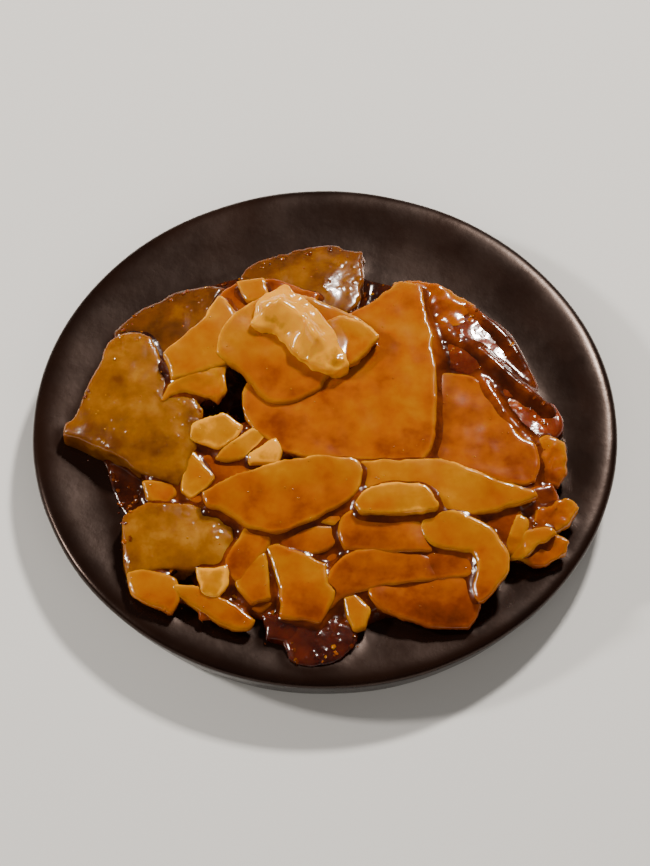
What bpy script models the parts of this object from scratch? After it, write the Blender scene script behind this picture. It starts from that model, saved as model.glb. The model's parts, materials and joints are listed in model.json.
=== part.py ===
# Florentine cookie: a moulded dark chocolate disc with a raised rim, a bed of hard caramel set
# in its shallow recess, and almond flakes and candied fruit lying in and on the caramel.
# Metres, +Z up, origin at the centre of the underside. -Y is called the near side.

import math

import bmesh
import bpy
import numpy as np
from mathutils import Euler, Matrix, Vector, noise
from mathutils.bvhtree import BVHTree

MM = 0.001

# Chocolate disc
DISC_RADIUS = 30.0 * MM
FOOT_RADIUS = 28.2 * MM
RIM_HEIGHT = 5.3 * MM
RECESS_FLOOR = 2.6 * MM
SEGMENTS = 72

# Topping
TOPPING_CENTRE = Vector((-0.3 * MM, -1.3 * MM, 0.0))
TOPPING_RADIUS = 23.2 * MM
DOME_RISE = 5.0 * MM
DOME_RINGS = 15
FIT_GAP = 0.3 * MM
LEAST_BED = 0.9 * MM

# Almond flakes
FLAKE_THICKNESS = 1.0 * MM
FLAKE_COLUMNS = 9
FLAKE_ROWS = 4
UNEVENNESS = 0.5 * MM

# Grid of heights on which the pieces are set down
GRID_STEP = 0.3 * MM
GRID_HALF = 31.0 * MM
FIT_REACH = 7
FIT_ROUNDS = 8


def clear_scene():
    for obj in list(bpy.data.objects):
        bpy.data.objects.remove(obj)


def make_material(name, color, roughness):
    material = bpy.data.materials.new(name)
    material.use_nodes = True
    shader = material.node_tree.nodes["Principled BSDF"]
    shader.inputs["Base Color"].default_value = (*color, 1.0)
    shader.inputs["Roughness"].default_value = roughness
    shader.inputs["Metallic"].default_value = 0.0
    return material


def make_object(name, bm, material, smooth_angle=35):
    bmesh.ops.recalc_face_normals(bm, faces=bm.faces)
    mesh = bpy.data.meshes.new(name)
    bm.to_mesh(mesh)
    bm.free()
    mesh.shade_smooth()
    mesh.set_sharp_from_angle(angle=math.radians(smooth_angle))
    mesh.materials.append(material)
    obj = bpy.data.objects.new(name, mesh)
    bpy.context.scene.collection.objects.link(obj)
    return obj


def add_ring(bm, points):
    """A closed ring of edges through the points."""
    verts = bmesh.ops.create_circle(bm, segments=len(points), radius=DISC_RADIUS)["verts"]
    for vert, point in zip(verts, points):
        vert.co = point
    return verts


def ring_edges(verts):
    return list(dict.fromkeys(edge for vert in verts for edge in vert.link_edges if edge.is_wire))


def loft(bm, rings_of_points):
    """A skin over rings of points, closed by a flat face at both ends."""
    rings = [add_ring(bm, points) for points in rings_of_points]
    loops = [ring_edges(ring) for ring in rings]
    for lower, upper in zip(loops, loops[1:]):
        bmesh.ops.bridge_loops(bm, edges=lower + upper)
    for ring in (rings[0], rings[-1]):
        bmesh.ops.contextual_create(bm, geom=ring)


def wobble(point):
    """A smoothly varying direction, different at each point."""
    return Vector([noise.noise(point + Vector((0, 0, shift))) for shift in (0.0, 31.7, 64.3)])


# ---- outline and heights of the topping ----


def topping_edge(angle, inset=0.0):
    """Point of the topping's uneven outline, at an angle round its centre."""
    waves = 0.030 * math.cos(2 * angle + 0.6) + 0.022 * math.cos(3 * angle - 1.1)
    waves += 0.014 * math.cos(5 * angle + 2.0) + 0.010 * math.cos(9 * angle + 0.4)
    radius = TOPPING_RADIUS * (1 + waves) - inset
    return TOPPING_CENTRE + radius * Vector((math.cos(angle), math.sin(angle), 0.0))


def share_of_edge(x, y):
    """0 at the topping's centre and 1 on its outline."""
    offset = Vector((x, y, 0.0)) - TOPPING_CENTRE
    edge = topping_edge(math.atan2(offset.y, offset.x)) - TOPPING_CENTRE
    return offset.length / edge.length


def dome_height(x, y):
    """Top of the caramel where no piece lies in it, highest a little beyond the centre."""
    share = min(share_of_edge(x, y), 1.0)
    lumps = 0.4 * MM * noise.noise(Vector((x, y, 0.0)) / (4.5 * MM))
    rise = DOME_RISE * (1 + 0.35 * y / TOPPING_RADIUS)
    return RIM_HEIGHT - 0.2 * MM + rise * (1 - share**2.4) ** 0.8 + lumps


# ---- chocolate disc ----

# (radius, height) of its outside, from the foot up over the rim
DISC_PROFILE = (
    (FOOT_RADIUS - 0.7 * MM, 0.0),
    (FOOT_RADIUS, 0.6 * MM),
    (DISC_RADIUS - 0.15 * MM, RIM_HEIGHT - 1.3 * MM),
    (DISC_RADIUS, RIM_HEIGHT - 0.75 * MM),
    (DISC_RADIUS - 0.3 * MM, RIM_HEIGHT - 0.25 * MM),
    (DISC_RADIUS - 1.0 * MM, RIM_HEIGHT - 0.02 * MM),
    (DISC_RADIUS - 2.0 * MM, RIM_HEIGHT),
)
# (distance outside the topping's outline, height) of its inside, down into the recess
RECESS_PROFILE = (
    (1.9 * MM, RIM_HEIGHT - 0.3 * MM),
    (0.8 * MM, RIM_HEIGHT - 0.65 * MM),
    (FIT_GAP, RIM_HEIGHT - 0.6 * MM),
    (FIT_GAP, RECESS_FLOOR),
)


def make_disc(material):
    angles = [math.tau * i / SEGMENTS for i in range(SEGMENTS)]
    rings = [
        [Vector((radius * math.cos(a), radius * math.sin(a), height)) for a in angles]
        for radius, height in DISC_PROFILE
    ]
    for distance, height in RECESS_PROFILE:
        rings.append([topping_edge(a, -distance) + Vector((0, 0, height)) for a in angles])
    bm = bmesh.new()
    loft(bm, rings)
    return make_object("chocolate_base", bm, material, 50)


# ---- fitting pieces under each other ----


def spread(grid, steps, choose):
    """The grid with each value chosen from among its neighbours' within some steps."""
    for _ in range(steps):
        padded = np.pad(grid, 1, mode="edge")
        sides = [padded[i : i + len(grid), j : j + len(grid)] for i in range(3) for j in range(3)]
        grid = choose.reduce(sides)
    return grid


def grid_cell(x, y):
    return round((x + GRID_HALF) / GRID_STEP), round((y + GRID_HALF) / GRID_STEP)


class Space:
    """The room that is left over the disc and under the pieces already there, as two grids."""

    def __init__(self, disc):
        count = round(2 * GRID_HALF / GRID_STEP) + 1
        self.axis = np.linspace(-GRID_HALF, GRID_HALF, count)
        self.ceiling = np.full((count, count), 1.0)
        ground = np.nan_to_num(self.heights_of(disc)[1], nan=RIM_HEIGHT)
        in_recess = spread(ground, 1, np.maximum) < RECESS_FLOOR + 0.1 * MM
        self.ground = spread(ground, 1, np.maximum) + np.where(in_recess, 2 * FIT_GAP + LEAST_BED, FIT_GAP)

    def heights_of(self, obj):
        """Lowest and highest point of an object over each grid point, or nan beside it."""
        bpy.context.view_layer.update()
        points = [obj.matrix_world @ v.co for v in obj.data.vertices]
        tree = BVHTree.FromPolygons(points, [tuple(p.vertices) for p in obj.data.polygons])
        low = np.full(2 * self.axis.shape, np.nan)
        high = np.full(2 * self.axis.shape, np.nan)
        spans = []
        for axis in (0, 1):
            ends = min(p[axis] for p in points), max(p[axis] for p in points)
            spans.append(np.flatnonzero((self.axis > ends[0]) & (self.axis < ends[1])))
        for i in spans[0]:
            for j in spans[1]:
                foot = Vector((self.axis[i], self.axis[j], 0.0))
                below = tree.ray_cast(foot - Vector((0, 0, 1)), Vector((0, 0, 1)))
                above = tree.ray_cast(foot + Vector((0, 0, 1)), Vector((0, 0, -1)))
                if below[0] and above[0]:
                    low[i, j], high[i, j] = below[0].z, above[0].z
        return low, high

    def fit(self, obj, lowest_top=None):
        """Bends an object down under the pieces above it and up off the disc, and adds it.

        Where there is too little room for it, its upper and lower sides close up. Given
        lowest_top, only its upper side moves, and no lower than that."""
        ceiling = spread(self.ceiling, 1, np.minimum) - FIT_GAP
        turned = obj.matrix_world.to_3x3()
        to_local = turned.inverted()
        for _ in range(FIT_ROUNDS):
            low, high = self.heights_of(obj)
            room_above = spread(np.nan_to_num(ceiling - high, nan=1.0), FIT_REACH, np.minimum)
            room_below = spread(np.nan_to_num(low - self.ground, nan=1.0), FIT_REACH, np.minimum)
            for vert in obj.data.vertices:
                place = obj.matrix_world @ vert.co
                cell = grid_cell(place.x, place.y)
                above, below = room_above[cell], room_below[cell]
                if (turned @ vert.normal).z > 0:
                    shift = min(above, max(-below, 0.0))
                else:
                    shift = -min(below, max(-above, 0.0))
                if lowest_top:
                    shift = min(max(shift, lowest_top - place.z), 0.0)
                vert.co += to_local @ Vector((0, 0, shift))
            obj.data.update()
        low, high = self.heights_of(obj)
        self.ceiling = np.fmin(self.ceiling, low)


# ---- almond flakes ----


def flake_mesh(length, width, curl, cup, breaks, seed):
    """A slice of almond, blunt at -X and pointed at +X, bent and with parts broken off."""
    bm = bmesh.new()
    bmesh.ops.create_grid(bm, x_segments=FLAKE_COLUMNS, y_segments=FLAKE_ROWS, size=1.0)
    for vert in bm.verts:
        along = 0.985 * math.sin(vert.co.x * math.pi / 2)
        swell = 1.13 * (1 + along) ** 0.5 * (1 - along) ** 0.68
        vert.co = Vector((along * length / 2, vert.co.y * swell * width / 2, 0.0))
        vert.co += UNEVENNESS * wobble(vert.co / (5 * MM) + seed)
    for direction, distance in breaks:
        normal = Vector((math.cos(math.radians(direction)), math.sin(math.radians(direction)), 0))
        parts = bm.verts[:] + bm.edges[:] + bm.faces[:]
        bmesh.ops.bisect_plane(
            bm, geom=parts, dist=0.05 * MM, plane_co=normal * distance, plane_no=normal, clear_outer=True
        )
    for vert in bm.verts:
        x, y = vert.co.x, vert.co.y
        vert.co.z += -curl * x * x - cup * y * y
    bmesh.ops.solidify(bm, geom=bm.faces[:], thickness=FLAKE_THICKNESS)
    return bm


def place(obj, at, turn, tilt, lean):
    """Turns an object about its own Z, then leans it about Y and tilts it about X."""
    obj.rotation_mode = "ZYX"
    obj.rotation_euler = Euler([math.radians(a) for a in (tilt, lean, turn)], "ZYX")
    obj.location = Vector(at) * MM
    bpy.context.view_layer.update()


def add_flake(space, material, name, size, at, turn, tilt=0, lean=0, curl=8, cup=10, breaks=()):
    """size and at are in millimetres, angles in degrees, curl and cup in 1/m."""
    broken = [(direction, distance * MM) for direction, distance in breaks]
    bm = flake_mesh(size[0] * MM, size[1] * MM, curl, cup, broken, Vector(at))
    obj = make_object(name, bm, material)
    place(obj, at, turn, tilt, lean)
    space.fit(obj)


# ---- candied fruit ----


def add_fruit(space, material, name, size, at, turn, tilt=0, lean=0, squareness=6, uneven=0.5):
    """A diced piece, from 2 for an egg's shape to about 10 for a sharp-edged block."""
    bm = bmesh.new()
    bmesh.ops.create_cube(bm, size=1.0)
    bmesh.ops.subdivide_edges(bm, edges=bm.edges[:], cuts=3, use_grid_fill=True)
    for vert in bm.verts:
        reach = sum(abs(2 * c) ** squareness for c in vert.co) ** (1 / squareness)
        vert.co = Vector([c / reach * s * MM for c, s in zip(vert.co, size)])
        vert.co += uneven * MM * wobble(vert.co / (3.5 * MM) + Vector(at))
    obj = make_object(name, bm, material, 60)
    place(obj, at, turn, tilt, lean)
    space.fit(obj)


# ---- caramel ----


def make_bed(space, material):
    """The caramel that fills the recess and rises between the pieces, under whatever lies on it."""
    base = RECESS_FLOOR + FIT_GAP
    angles = [math.tau * i / SEGMENTS for i in range(SEGMENTS)]
    rings = [[topping_edge(a) + Vector((0, 0, base)) for a in angles]]
    for k in range(DOME_RINGS):
        ring = [TOPPING_CENTRE.lerp(topping_edge(a), 1 - k / DOME_RINGS) for a in angles]
        rings.append([Vector((p.x, p.y, dome_height(*p.xy))) for p in ring])
    bm = bmesh.new()
    loft(bm, rings)
    bed = make_object("caramel_bed", bm, material, 60)
    space.fit(bed, lowest_top=base + LEAST_BED)


def main():
    clear_scene()
    chocolate = make_material("dark_chocolate", (0.020, 0.009, 0.006), 0.28)
    caramel = make_material("caramel", (0.19, 0.055, 0.010), 0.12)
    almond = make_material("almond", (0.62, 0.27, 0.035), 0.25)
    peel = make_material("candied_peel", (0.36, 0.19, 0.030), 0.15)
    cherry = make_material("candied_cherry", (0.11, 0.015, 0.008), 0.12)
    space = Space(make_disc(chocolate))

    def flake(name, size, at, turn, **shape):
        add_flake(space, almond, name, size, at, turn, **shape)

    def fruit(material, name, size, at, turn, **shape):
        add_fruit(space, material, name, size, at, turn, **shape)

    # from the top of the heap down
    flake("almond_ridge", (11.5, 4.8), (-2.4, 8.0, 12.9), -38, tilt=8, cup=-50)
    flake("almond_crest", (18, 12), (-3.0, 6.7, 11.7), 2, tilt=11, curl=6, cup=-16)
    flake("almond_slip_right", (8, 3.0), (7.4, -10.8, 9.9), 4, tilt=20)
    flake("almond_half_left", (17, 7), (-3.8, -9.6, 9.9), 190, tilt=18, curl=8, breaks=[(185, 6.6)])
    flake("almond_front_right", (17.5, 5.4), (12.0, -7.8, 9.0), 172, tilt=20, curl=10)
    flake("almond_fan", (24, 16.5), (2.6, 3.5, 9.4), 60, tilt=14, lean=2, curl=4, cup=6, breaks=[(198, 7.8)])
    flake("almond_chip_left", (8, 4.6), (-12.6, 3.8, 9.8), 24, tilt=12, lean=-6)
    flake("almond_wing", (12.0, 6.4), (-11.8, 9.4, 10.2), 242, tilt=8, lean=-6)
    flake("almond_shard", (12, 7.0), (-2.8, -18.4, 7.8), -78, tilt=16, breaks=[(168, 3.4), (-10, 3.4)])
    flake("almond_arc", (13, 4.4), (4.4, -18.2, 8.2), 12, tilt=16, curl=16)
    flake("almond_curve", (13, 8), (14.7, -15.4, 8.9), -52, tilt=11, lean=4, curl=12, cup=12)
    flake("almond_low_right", (8.6, 4.2), (9.4, -21.2, 6.4), 10, tilt=-5)
    flake("almond_tongue", (10, 4.6), (5.9, -13.8, 7.6), 176, tilt=8)
    flake("almond_under", (8, 3.4), (-3.4, -14.0, 6.9), 10, tilt=4)
    flake("almond_right", (17.5, 11.5), (12.8, -0.6, 8.0), -44, tilt=2, lean=7, curl=10)
    flake("almond_sliver", (8.4, 2.6), (-11.2, -21.4, 6.5), -29, tilt=8)
    flake("almond_corner", (5.2, 3.0), (-17.7, -19.5, 6.7), -40, tilt=6)
    flake("almond_curl_right", (7.4, 4.2), (22.5, -11.2, 7.0), 60, tilt=14, lean=6, cup=35)
    flake("almond_edge_right", (5.4, 3.0), (22.5, -4.8, 7.2), 80, tilt=2, lean=4)
    flake("almond_back", (12, 7), (-7.0, 10.6, 9.9), 158, tilt=-14, cup=8)
    fruit(peel, "peel_left", (11.0, 10.2, 3.8), (-19.4, 1.8, 7.3), 40, tilt=3, lean=-6)
    fruit(peel, "peel_front_left", (9.2, 6.8, 3.8), (-15.2, -13.5, 7.7), 3, tilt=5, lean=-6)
    fruit(peel, "peel_back", (11.6, 6.4, 3.8), (-2.4, 17.2, 7.4), -4, tilt=-6)
    fruit(peel, "peel_back_left", (9.6, 5.0, 3.0), (-15.6, 13.6, 7.1), 38, tilt=-4, lean=-4)
    fruit(cherry, "cherry_right", (11.0, 6.4, 3.4), (14.6, 10.8, 7.2), -38, tilt=-4, lean=6)
    fruit(cherry, "cherry_edge", (6.4, 3.6, 3.0), (21.6, 3.2, 7.2), -66, squareness=3)
    fruit(cherry, "cherry_front", (7.5, 3.4, 2.4), (-1.5, -24.2, 6.9), 6, squareness=3)
    make_bed(space, caramel)


main()
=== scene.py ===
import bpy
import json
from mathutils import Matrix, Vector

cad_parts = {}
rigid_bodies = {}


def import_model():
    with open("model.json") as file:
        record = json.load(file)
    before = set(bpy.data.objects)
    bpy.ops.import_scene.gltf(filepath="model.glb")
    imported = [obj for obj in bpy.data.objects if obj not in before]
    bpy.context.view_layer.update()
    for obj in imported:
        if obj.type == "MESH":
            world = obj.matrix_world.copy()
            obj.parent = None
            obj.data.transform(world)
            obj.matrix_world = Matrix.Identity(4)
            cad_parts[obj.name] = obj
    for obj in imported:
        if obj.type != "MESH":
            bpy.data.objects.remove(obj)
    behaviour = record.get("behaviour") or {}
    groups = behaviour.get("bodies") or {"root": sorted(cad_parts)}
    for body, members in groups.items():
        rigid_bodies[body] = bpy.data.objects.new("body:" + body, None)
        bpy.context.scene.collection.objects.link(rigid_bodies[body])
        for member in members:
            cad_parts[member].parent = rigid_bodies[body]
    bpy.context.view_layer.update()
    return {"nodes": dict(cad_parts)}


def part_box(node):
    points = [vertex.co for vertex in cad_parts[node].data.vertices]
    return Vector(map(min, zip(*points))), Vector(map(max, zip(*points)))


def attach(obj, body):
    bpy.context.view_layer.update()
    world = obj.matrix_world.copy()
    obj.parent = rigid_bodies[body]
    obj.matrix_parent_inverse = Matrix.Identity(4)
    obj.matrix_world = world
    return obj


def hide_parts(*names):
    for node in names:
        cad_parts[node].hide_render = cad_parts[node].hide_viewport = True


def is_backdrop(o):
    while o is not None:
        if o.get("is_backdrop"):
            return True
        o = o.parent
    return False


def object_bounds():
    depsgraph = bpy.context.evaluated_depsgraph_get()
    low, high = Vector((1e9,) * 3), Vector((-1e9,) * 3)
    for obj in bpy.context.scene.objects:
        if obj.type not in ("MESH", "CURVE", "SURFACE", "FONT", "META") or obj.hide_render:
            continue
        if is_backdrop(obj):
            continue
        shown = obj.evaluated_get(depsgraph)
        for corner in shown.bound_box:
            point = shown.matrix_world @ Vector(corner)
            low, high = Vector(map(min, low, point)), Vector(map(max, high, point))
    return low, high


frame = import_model()

import json
import math
import random

import bpy
import numpy as np
from mathutils import Matrix, Vector
from mathutils.bvhtree import BVHTree
from mathutils.kdtree import KDTree

mm = 0.001
nodes = frame["nodes"]
print("frame loaded,", len(nodes), "nodes")


def tint(red, green, blue):
    # colour picker values 0-255 to the linear colour that a shader takes
    def linear(c):
        c = c / 255
        return c / 12.92 if c <= 0.04045 else ((c + 0.055) / 1.055) ** 2.4
    return (linear(red), linear(green), linear(blue))


def dropSelection():
    for o in bpy.context.view_layer.objects:
        o.select_set(False)


def pickOnly(*objs):
    dropSelection()
    for o in objs:
        o.select_set(True)
    bpy.context.view_layer.objects.active = objs[0]


def inEditMode(obj, work):
    pickOnly(obj)
    bpy.ops.object.mode_set(mode="EDIT")
    work()
    bpy.ops.object.mode_set(mode="OBJECT")


def raiseWhole(height):
    # in edit mode: the flat shape becomes a closed plate or post of this height
    bpy.ops.mesh.select_all(action="SELECT")
    bpy.ops.mesh.extrude_region_move(TRANSFORM_OT_translate={"value": (0, 0, height)})
    bpy.ops.mesh.select_all(action="SELECT")
    bpy.ops.mesh.normals_make_consistent(inside=False)


def applyModifier(obj, kind, **settings):
    modifier = obj.modifiers.new(kind.lower(), kind)
    for key, value in settings.items():
        setattr(modifier, key, value)
    pickOnly(obj)
    bpy.ops.object.modifier_apply(modifier=modifier.name)


def cloudTexture(name, size, depth=1, colour=False):
    texture = bpy.data.textures.new(name, "CLOUDS")
    texture.noise_scale = size
    texture.noise_depth = depth
    texture.cloud_type = "COLOR" if colour else "GRAYSCALE"
    return texture


def displace(obj, texture, strength, direction="NORMAL"):
    applyModifier(obj, "DISPLACE", texture=texture, strength=strength, direction=direction,
                  texture_coords="LOCAL", mid_level=0.5)


def swell(obj, amount):
    applyModifier(obj, "DISPLACE", strength=amount, mid_level=0.0, direction="NORMAL")


def remesh(obj, voxel):
    applyModifier(obj, "REMESH", mode="VOXEL", voxel_size=voxel)


def smooth(obj, rounds):
    applyModifier(obj, "SMOOTH", factor=0.5, iterations=rounds)


def copyNode(name, pieceName):
    piece = bpy.data.objects.new(pieceName, nodes[name].data.copy())
    bpy.context.scene.collection.objects.link(piece)
    piece.data.materials.clear()

    def merge():
        bpy.ops.mesh.select_all(action="SELECT")
        bpy.ops.mesh.remove_doubles(threshold=0.00001)
        bpy.ops.mesh.tris_convert_to_quads(face_threshold=math.radians(40), shape_threshold=math.radians(60))
        bpy.ops.mesh.select_all(action="DESELECT")

    inEditMode(piece, merge)
    return piece


def coordsOf(obj):
    co = np.empty(len(obj.data.vertices) * 3)
    obj.data.vertices.foreach_get("co", co)
    return co.reshape(-1, 3)


def setCoords(obj, co):
    obj.data.vertices.foreach_set("co", np.asarray(co, dtype=float).ravel())
    obj.data.update()


def setAttribute(obj, name, values):
    layer = obj.data.attributes.get(name) or obj.data.attributes.new(name, "FLOAT", "POINT")
    layer.data.foreach_set("value", np.asarray(values, dtype=float))


def treeOf(points):
    tree = KDTree(len(points))
    for i, point in enumerate(points):
        tree.insert(point, i)
    tree.balance()
    return tree


def distances(points, others):
    # from each point to the nearest of the others
    tree = treeOf(others)
    return np.array([tree.find(point)[2] for point in points])


def fading(far, reach):
    # 1 at the spot itself, going to 0 past the reach
    return np.exp(-(far / (reach * mm)) ** 2)


def finishPiece(obj, material, slot, *replaced):
    obj.data.materials.clear()
    obj.data.materials.append(material)
    pickOnly(obj)
    bpy.ops.object.shade_smooth()
    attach(obj, "root")
    if replaced:
        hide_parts(*replaced)
    return obj


# small node helpers, used in the groups and in the materials

def mathNode(tree, operation, a, b=None):
    node = tree.nodes.new("ShaderNodeMath")
    node.operation = operation
    for socket, value in zip(node.inputs, (a, b)):
        if isinstance(value, (int, float)):
            socket.default_value = value
        elif value is not None:
            tree.links.new(value, socket)
    return node.outputs[0]


def noiseNode(tree, vector, scale, detail=3.0, roughness=0.5, distortion=0.0):
    node = tree.nodes.new("ShaderNodeTexNoise")
    node.inputs["Detail"].default_value = detail
    node.inputs["Roughness"].default_value = roughness
    node.inputs["Distortion"].default_value = distortion
    tree.links.new(vector, node.inputs["Vector"])
    if isinstance(scale, (int, float)):
        node.inputs["Scale"].default_value = scale
    else:
        tree.links.new(scale, node.inputs["Scale"])
    return node.outputs[0]


def rangeNode(tree, value, low, high, outLow=0.0, outHigh=1.0):
    node = tree.nodes.new("ShaderNodeMapRange")
    node.interpolation_type = "SMOOTHSTEP"
    tree.links.new(value, node.inputs["Value"])
    for key, number in (("From Min", low), ("From Max", high), ("To Min", outLow), ("To Max", outHigh)):
        node.inputs[key].default_value = number
    return node.outputs[0]


def mixColour(tree, factor, a, b):
    node = tree.nodes.new("ShaderNodeMix")
    node.data_type = "RGBA"
    for socket, value in zip((node.inputs[0], node.inputs[6], node.inputs[7]), (factor, a, b)):
        if isinstance(value, tuple):
            socket.default_value = (*value, 1.0)
        elif isinstance(value, (int, float)):
            socket.default_value = value
        else:
            tree.links.new(value, socket)
    return node.outputs[2]


def rampNode(tree, factor, stops):
    node = tree.nodes.new("ShaderNodeValToRGB")
    elements = node.color_ramp.elements
    while len(elements) < len(stops):
        elements.new(0.5)
    for element, (place, colour) in zip(elements, stops):
        element.position = place
        element.color = (*colour, 1.0)
    tree.links.new(factor, node.inputs[0])
    return node.outputs[0]


def newGroup(name, inputs, outputs):
    group = bpy.data.node_groups.new(name, "ShaderNodeTree")
    for socketName, kind, value in inputs:
        group.interface.new_socket(socketName, in_out="INPUT", socket_type=kind).default_value = value
    for socketName, kind in outputs:
        group.interface.new_socket(socketName, in_out="OUTPUT", socket_type=kind)
    return group, group.nodes.new("NodeGroupInput").outputs, group.nodes.new("NodeGroupOutput").inputs


def makeGlazeGroup():
    # sugar glaze: where it has pooled, and the height of its ripples and blisters
    group, given, result = newGroup(
        "glazeSkin",
        [("Vector", "NodeSocketVector", (0, 0, 0)), ("Ripple Scale", "NodeSocketFloat", 400.0),
         ("Blister Scale", "NodeSocketFloat", 1500.0), ("Blisters", "NodeSocketFloat", 0.5)],
        [("Pooled", "NodeSocketFloat"), ("Height", "NodeSocketFloat")])
    vector = given["Vector"]
    ripple = noiseNode(group, vector, given["Ripple Scale"], 3.0, 0.5, 0.3)
    cells = group.nodes.new("ShaderNodeTexVoronoi")
    cells.feature = "SMOOTH_F1"
    group.links.new(vector, cells.inputs["Vector"])
    group.links.new(given["Blister Scale"], cells.inputs["Scale"])
    dome = rangeNode(group, cells.outputs["Distance"], 0.0, 0.42, 1.0, 0.0)
    patches = rangeNode(group, noiseNode(group, vector, 260.0, 1.0), 0.45, 0.62)
    blisters = mathNode(group, "MULTIPLY", mathNode(group, "MULTIPLY", dome, patches), given["Blisters"])
    group.links.new(rangeNode(group, ripple, 0.38, 0.66), result["Pooled"])
    group.links.new(mathNode(group, "ADD", ripple, blisters), result["Height"])
    return group


def placeGroup(tree, group, vector, **values):
    node = tree.nodes.new("ShaderNodeGroup")
    node.node_tree = group
    tree.links.new(vector, node.inputs["Vector"])
    for key, value in values.items():
        node.inputs[key.replace("_", " ")].default_value = value
    return node.outputs


def startMaterial(name, look):
    material = bpy.data.materials.new(name)
    material.use_nodes = True
    tree = material.node_tree
    shader = tree.nodes["Principled BSDF"]
    shader.inputs["Roughness"].default_value = look["roughness"]
    shader.inputs["IOR"].default_value = 1.49  # sugar and cocoa butter are close to this
    shader.inputs["Coat Weight"].default_value = look.get("coat", 0.0)
    shader.inputs["Coat Roughness"].default_value = look.get("coatRoughness", 0.05)
    shader.inputs["Subsurface Weight"].default_value = look.get("glow", 0.0)
    shader.inputs["Subsurface Radius"].default_value = look.get("glowTint", (1.0, 0.4, 0.1))
    shader.inputs["Subsurface Scale"].default_value = look.get("glowDepth", 1.0) * mm
    return material, tree, shader, tree.nodes.new("ShaderNodeTexCoord").outputs["Object"]


def attributeNode(tree, name):
    node = tree.nodes.new("ShaderNodeAttribute")
    node.attribute_name = name
    return node.outputs["Fac"]


def addBump(tree, shader, height, strength, distance):
    bump = tree.nodes.new("ShaderNodeBump")
    bump.inputs["Strength"].default_value = strength
    bump.inputs["Distance"].default_value = distance * mm
    tree.links.new(height, bump.inputs["Height"])
    tree.links.new(bump.outputs["Normal"], shader.inputs["Normal"])


glazeGroup = makeGlazeGroup()

# glow is light that passes under the skin, glowDepth in mm
almondLook = {
    "roughness": 0.16, "coat": 0.2, "coatRoughness": 0.04, "glow": 0.3, "glowDepth": 1.0,
    "ripples": 330.0, "blisterSize": 1100.0, "blisters": 0.12, "patches": 240.0,
    "bump": 0.07, "bumpDepth": 0.3,
    "stops": [(0.0, (0.06, 0.007, 0.0002)), (0.25, (0.21, 0.034, 0.0002)), (0.48, (0.38, 0.086, 0.0003)),
              (0.72, (0.44, 0.148, 0.0003)), (0.86, (0.52, 0.20, 0.001)), (1.0, (0.92, 0.38, 0.014))],
    "edgeHighlight": 0.28, "poolDrop": 0.14, "mottle": 0.4,
}


def makeAlmond():
    look = almondLook
    material, tree, shader, vector = startMaterial("glazedAlmond", look)
    skin = placeGroup(tree, glazeGroup, vector, Ripple_Scale=look["ripples"],
                      Blister_Scale=look["blisterSize"], Blisters=look["blisters"])
    tone = attributeNode(tree, "tone")
    mottle = mathNode(tree, "SUBTRACT", noiseNode(tree, vector, look["patches"], 4.0, 0.62), 0.5)
    value = mathNode(tree, "ADD", tone, mathNode(tree, "MULTIPLY", mottle, look["mottle"] * 2))
    # partly the paler thin glaze at the edges, partly painted highlight: the flake's edges are lightened for
    # light catching and shining through them
    lift = mathNode(tree, "MULTIPLY", attributeNode(tree, "rim"), look["edgeHighlight"])
    value = mathNode(tree, "ADD", value, lift)
    value = mathNode(tree, "SUBTRACT", value, mathNode(tree, "MULTIPLY", skin["Pooled"], look["poolDrop"]))
    tree.links.new(rampNode(tree, value, look["stops"]), shader.inputs["Base Color"])
    addBump(tree, shader, skin["Height"], look["bump"], look["bumpDepth"])
    return material


peelLook = {
    "roughness": 0.2, "coat": 0.5, "coatRoughness": 0.04, "blisters": 0.6, "bump": 0.25,
    "glow": 0.8, "glowDepth": 2.2, "glowTint": (1.0, 0.6, 0.12),
    "stops": [(0.0, (0.06, 0.014, 0.001)), (0.35, (0.16, 0.045, 0.002)), (0.7, (0.32, 0.115, 0.004)),
              (1.0, (0.50, 0.23, 0.02))],
}

cherryLook = {
    "roughness": 0.18, "coat": 0.9, "coatRoughness": 0.04, "blisters": 0.5, "bump": 0.45,
    "glow": 0.7, "glowDepth": 1.8, "glowTint": (1.0, 0.2, 0.06),
    "stops": [(0.0, (0.03, 0.003, 0.001)), (0.4, (0.12, 0.014, 0.002)), (0.75, (0.27, 0.038, 0.002)),
              (1.0, (0.45, 0.10, 0.006))],
}

caramelLook = {
    "roughness": 0.16, "coat": 0.2, "coatRoughness": 0.04, "blisters": 0.4, "bump": 0.35,
    "glow": 0.4, "glowDepth": 1.2, "glowTint": (1.0, 0.35, 0.06),
    "stops": [(0.0, (0.025, 0.004, 0.0005)), (0.35, (0.09, 0.013, 0.001)), (0.7, (0.24, 0.043, 0.001)),
              (1.0, (0.40, 0.10, 0.002))],
}


sugarLook = {"ripples": 380.0, "blisterSize": 1200.0, "clouds": 320.0, "poolDrop": 0.15, "bumpDepth": 0.5}


def makeSugared(name, look):
    # fruit and caramel: cloudy depth of colour under a wet skin
    material, tree, shader, vector = startMaterial(name, look)
    skin = placeGroup(tree, glazeGroup, vector, Ripple_Scale=sugarLook["ripples"],
                      Blister_Scale=sugarLook["blisterSize"], Blisters=look["blisters"])
    cloudy = noiseNode(tree, vector, sugarLook["clouds"], 4.0, 0.6)
    value = mathNode(tree, "ADD", attributeNode(tree, "tone"), mathNode(tree, "SUBTRACT", cloudy, 0.5))
    pooled = mathNode(tree, "MULTIPLY", skin["Pooled"], sugarLook["poolDrop"])
    value = mathNode(tree, "SUBTRACT", value, pooled)
    tree.links.new(rampNode(tree, value, look["stops"]), shader.inputs["Base Color"])
    addBump(tree, shader, skin["Height"], look["bump"], sugarLook["bumpDepth"])
    return material


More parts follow.
